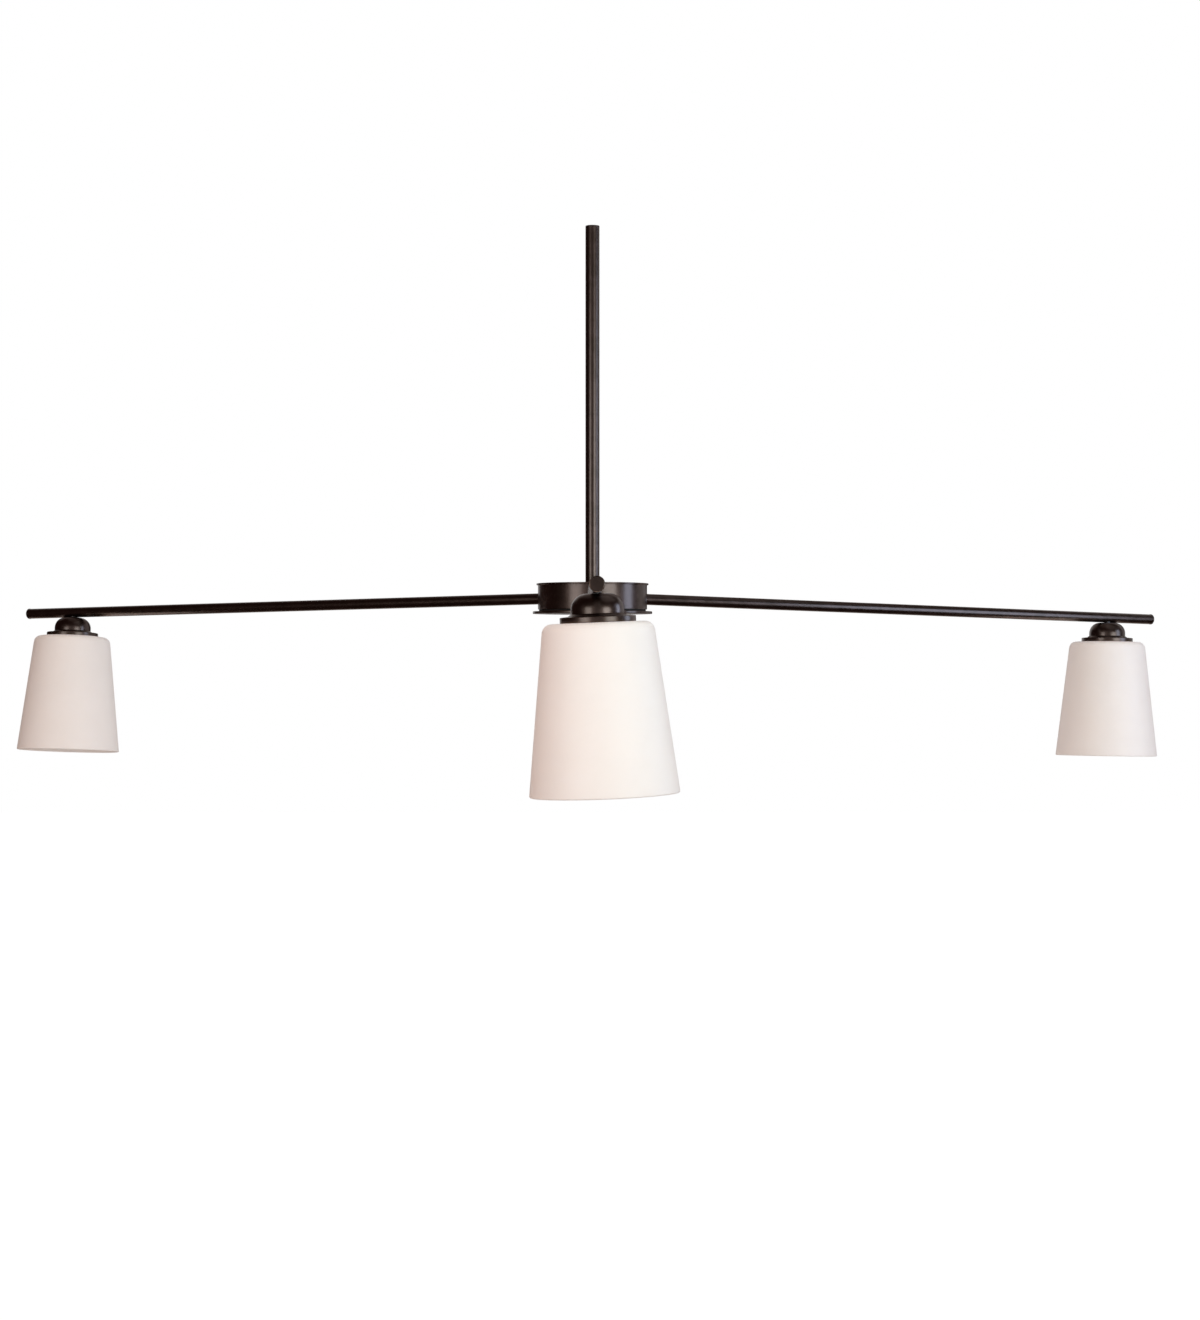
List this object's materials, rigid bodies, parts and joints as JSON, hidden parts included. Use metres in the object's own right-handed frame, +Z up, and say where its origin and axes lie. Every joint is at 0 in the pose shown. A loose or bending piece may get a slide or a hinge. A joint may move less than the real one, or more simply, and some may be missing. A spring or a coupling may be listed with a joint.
{
  "type": "chandelier",
  "caption": "Dark bronze chandelier: a round tube stem, a drum hub and straight tube arms, each with a domed cup and a tapered opal glass shade that opens downwards.",
  "frame": {"origin": "middle of the stem's cut top end, at the mouth of its ceiling thread", "axes": "+Z up along the stem, -Y along the front arm towards the viewer, +X to the viewer's right"},
  "size_m": [1.4546, 1.2769, 0.6144],
  "materials": {
    "bronze": "satin",
    "opal_glass": "satin",
    "bulb_glass": "frosted",
    "bulb_cap": "rolled",
    "holder_moulding": "moulded",
    "ring_moulding": "moulded",
    "brass": "drawn",
    "terminal_moulding": "moulded",
    "lead_sheath": "matt",
    "zinc_steel": "zinc plated"
  },
  "bodies": {
    "frame": {"stem_tube": "bronze", "stem_top_coupling": "zinc_steel", "stem_bottom_coupling": "zinc_steel", "hub_rod": "zinc_steel", "hub_top_plate": "bronze", "hub_drum": "bronze", "hub_washer": "zinc_steel", "hub_lock_nut": "zinc_steel", "terminal_block": "terminal_moulding", "supply_lead": "lead_sheath", "arm_nipples": "zinc_steel", "arm_washers": "zinc_steel", "arm_lock_nuts": "zinc_steel"},
    "arm_front": {"arm_tube_front": "bronze", "arm_end_cap_front": "bronze", "arm_tip_block_front": "zinc_steel", "lead_wire_front": "lead_sheath", "cup_nipple_front": "zinc_steel", "cup_lock_nut_front": "zinc_steel", "cup_dome_front": "bronze", "brim_plate_front": "bronze", "lampholder_body_front": "holder_moulding", "lampholder_shell_front": "brass", "lampholder_contact_front": "brass", "glass_shade_front": "opal_glass", "shade_ring_front": "ring_moulding"},
    "arm_left": {"arm_tube_left": "bronze", "arm_end_cap_left": "bronze", "arm_tip_block_left": "zinc_steel", "lead_wire_left": "lead_sheath", "cup_nipple_left": "zinc_steel", "cup_lock_nut_left": "zinc_steel", "cup_dome_left": "bronze", "brim_plate_left": "bronze", "lampholder_body_left": "holder_moulding", "lampholder_shell_left": "brass", "lampholder_contact_left": "brass", "glass_shade_left": "opal_glass", "shade_ring_left": "ring_moulding"},
    "arm_right": {"arm_tube_right": "bronze", "arm_end_cap_right": "bronze", "arm_tip_block_right": "zinc_steel", "lead_wire_right": "lead_sheath", "cup_nipple_right": "zinc_steel", "cup_lock_nut_right": "zinc_steel", "cup_dome_right": "bronze", "brim_plate_right": "bronze", "lampholder_body_right": "holder_moulding", "lampholder_shell_right": "brass", "lampholder_contact_right": "brass", "glass_shade_right": "opal_glass", "shade_ring_right": "ring_moulding"},
    "bulb_front": {"bulb_cap_front": "bulb_cap", "bulb_globe_front": "bulb_glass"},
    "bulb_left": {"bulb_cap_left": "bulb_cap", "bulb_globe_left": "bulb_glass"},
    "bulb_right": {"bulb_cap_right": "bulb_cap", "bulb_globe_right": "bulb_glass"},
    "hub_cover": {"hub_cover": "bronze", "hub_cap_nut": "bronze"}
  },
  "joints": [
    {"name": "arm_front_roll", "type": "hinge", "parent": "frame", "child": "arm_front", "pos_m": [0, 0, -0.42], "axis": [0, -0.9999, -0.0108], "range_deg": [-15, 15]},
    {"name": "arm_left_roll", "type": "hinge", "parent": "frame", "child": "arm_left", "pos_m": [0, 0, -0.42], "axis": [-0.8659, 0.5, -0.0136], "range_deg": [-15, 15]},
    {"name": "arm_right_roll", "type": "hinge", "parent": "frame", "child": "arm_right", "pos_m": [0, 0, -0.42], "axis": [0.8658, 0.4999, -0.022], "range_deg": [-15, 15]},
    {"name": "bulb_front_draw", "type": "slide", "parent": "arm_front", "child": "bulb_front", "axis": [0.0398, 0.0108, -0.9991], "range_m": [0, 0.165]},
    {"name": "bulb_left_draw", "type": "slide", "parent": "arm_left", "child": "bulb_left", "axis": [-0.0252, -0.0708, -0.9972], "range_m": [0, 0.165]},
    {"name": "bulb_right_draw", "type": "slide", "parent": "arm_right", "child": "bulb_right", "axis": [-0.0132, -0.0211, -0.9997], "range_m": [0, 0.165]},
    {"name": "hub_cover_drop", "type": "slide", "parent": "frame", "child": "hub_cover", "axis": [0, 0, -1], "range_m": [0, 0.04]}
  ]
}
